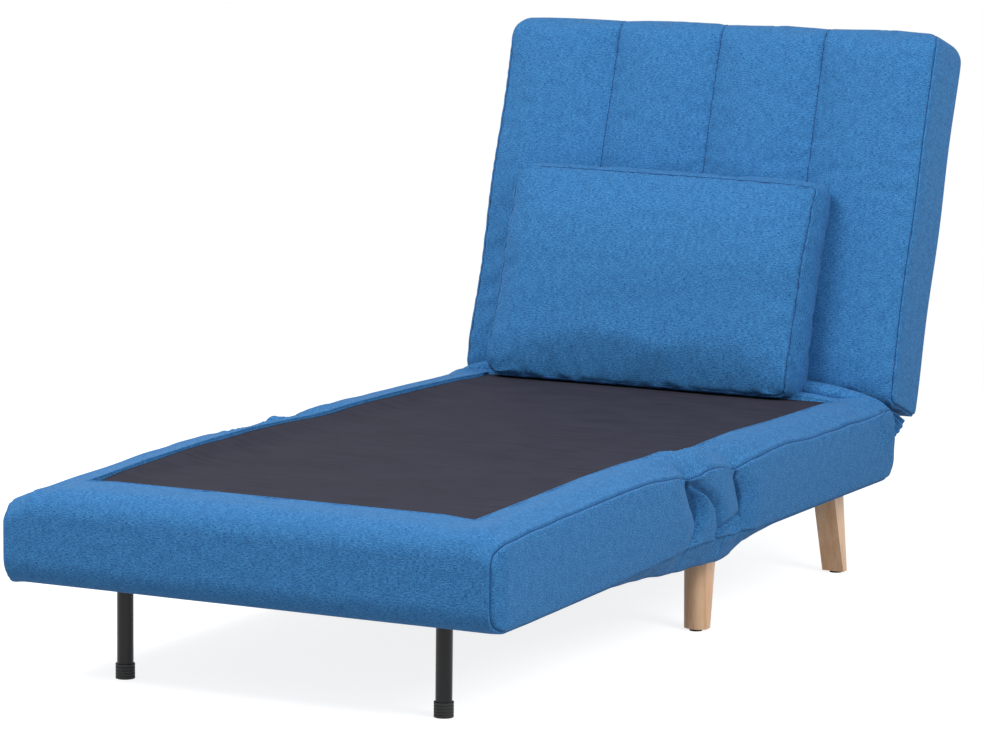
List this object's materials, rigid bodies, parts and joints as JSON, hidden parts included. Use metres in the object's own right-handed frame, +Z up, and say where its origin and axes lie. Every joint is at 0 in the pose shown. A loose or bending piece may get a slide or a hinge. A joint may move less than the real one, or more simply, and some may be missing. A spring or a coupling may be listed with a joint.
{
  "type": "fold-out futon sofa bed",
  "caption": "Single fold-out futon sofa bed: quilted reclining backrest, fold-over front section on tube legs, seat on splayed wooden legs, loose lumbar pillow.",
  "frame": {"origin": "centre of the footprint, on the floor, with the front section folded out", "axes": "+Z up, -Y towards the foot end, +Y towards the backrest, +X to the right as seen from the foot end"},
  "size_m": [0.73, 1.5718, 0.794],
  "materials": {
    "blue_weave": "heathered woven cloth",
    "foam": "open-cell foam",
    "black_cloth": "smooth non-woven cloth",
    "frame_steel": "black powder coat",
    "spring_steel": "bright wire",
    "clip_plastic": "moulded",
    "hinge_steel": "satin black",
    "fastener_steel": "zinc plated",
    "beech": "clear satin lacquer",
    "glide_felt": "matt",
    "black_tube": "satin powder coat",
    "cap_rubber": "ribbed matt rubber",
    "zip_tape": "woven tape with nylon coil"
  },
  "bodies": {
    "seat_section": {"seat_cover": "blue_weave", "seat_foam": "foam", "seat_top_cloth": "black_cloth", "seat_dust_cover": "black_cloth", "seat_frame": "frame_steel", "seat_springs": "spring_steel", "seat_spring_clips": "clip_plastic", "left_fold_hinge_base": "hinge_steel", "right_fold_hinge_base": "hinge_steel", "fold_hinge_pins": "fastener_steel", "left_recline_hinge_base": "hinge_steel", "right_recline_hinge_base": "hinge_steel", "recline_hinge_pins": "fastener_steel", "recline_pawls": "hinge_steel", "pawl_springs": "spring_steel", "pawl_rod": "fastener_steel", "seat_hinge_bolts": "fastener_steel", "wood_leg_front_left": "beech", "wood_leg_front_right": "beech", "wood_leg_rear_left": "beech", "wood_leg_rear_right": "beech", "leg_mount_plates": "hinge_steel", "leg_screws": "fastener_steel", "leg_glides": "glide_felt"},
    "front_section": {"front_cover": "blue_weave", "front_foam": "foam", "front_top_cloth": "black_cloth", "front_frame": "frame_steel", "front_springs": "spring_steel", "front_spring_clips": "clip_plastic", "left_fold_hinge_arm": "hinge_steel", "right_fold_hinge_arm": "hinge_steel", "front_hinge_bolts": "fastener_steel", "left_leg_bracket": "hinge_steel", "right_leg_bracket": "hinge_steel"},
    "left_leg": {"left_tube_leg": "black_tube", "left_leg_cap": "cap_rubber", "left_leg_bolt": "fastener_steel"},
    "right_leg": {"right_tube_leg": "black_tube", "right_leg_cap": "cap_rubber", "right_leg_bolt": "fastener_steel"},
    "backrest": {"back_cover": "blue_weave", "back_foam": "foam", "back_frame": "frame_steel", "back_springs": "spring_steel", "back_spring_clips": "clip_plastic", "left_recline_hinge_arm": "hinge_steel", "right_recline_hinge_arm": "hinge_steel", "back_hinge_bolts": "fastener_steel"},
    "pillow": {"pillow_cover": "blue_weave", "pillow_zip": "zip_tape", "pillow_filling": "foam"}
  },
  "joints": [
    {"name": "front_fold", "type": "hinge", "parent": "seat_section", "child": "front_section", "pos_m": [0, -0.13291, 0.261], "axis": [-1, 0, 0], "range_deg": [0, 180]},
    {"name": "backrest_recline", "type": "hinge", "parent": "seat_section", "child": "backrest", "pos_m": [0, 0.53379, 0.251], "axis": [-1, 0, 0], "range_deg": [0, 73.5]},
    {"name": "pillow_lift", "type": "slide", "parent": "backrest", "child": "pillow", "axis": [0, 0.284, 0.9588], "range_m": [0, 0.33]},
    {"name": "left_leg_fold", "type": "hinge", "parent": "front_section", "child": "left_leg", "pos_m": [-0.238, -0.67791, 0.172], "axis": [1, 0, 0], "range_deg": [0, 90]},
    {"name": "right_leg_fold", "type": "hinge", "parent": "front_section", "child": "right_leg", "pos_m": [0.238, -0.67791, 0.172], "axis": [1, 0, 0], "range_deg": [0, 90]}
  ],
  "couplings": [
    {"joint": "pillow_lift", "follows": "front_fold", "m_per_rad": 0.10504},
    {"joint": "left_leg_fold", "follows": "front_fold", "ratio": 0.5},
    {"joint": "right_leg_fold", "follows": "front_fold", "ratio": 0.5}
  ]
}
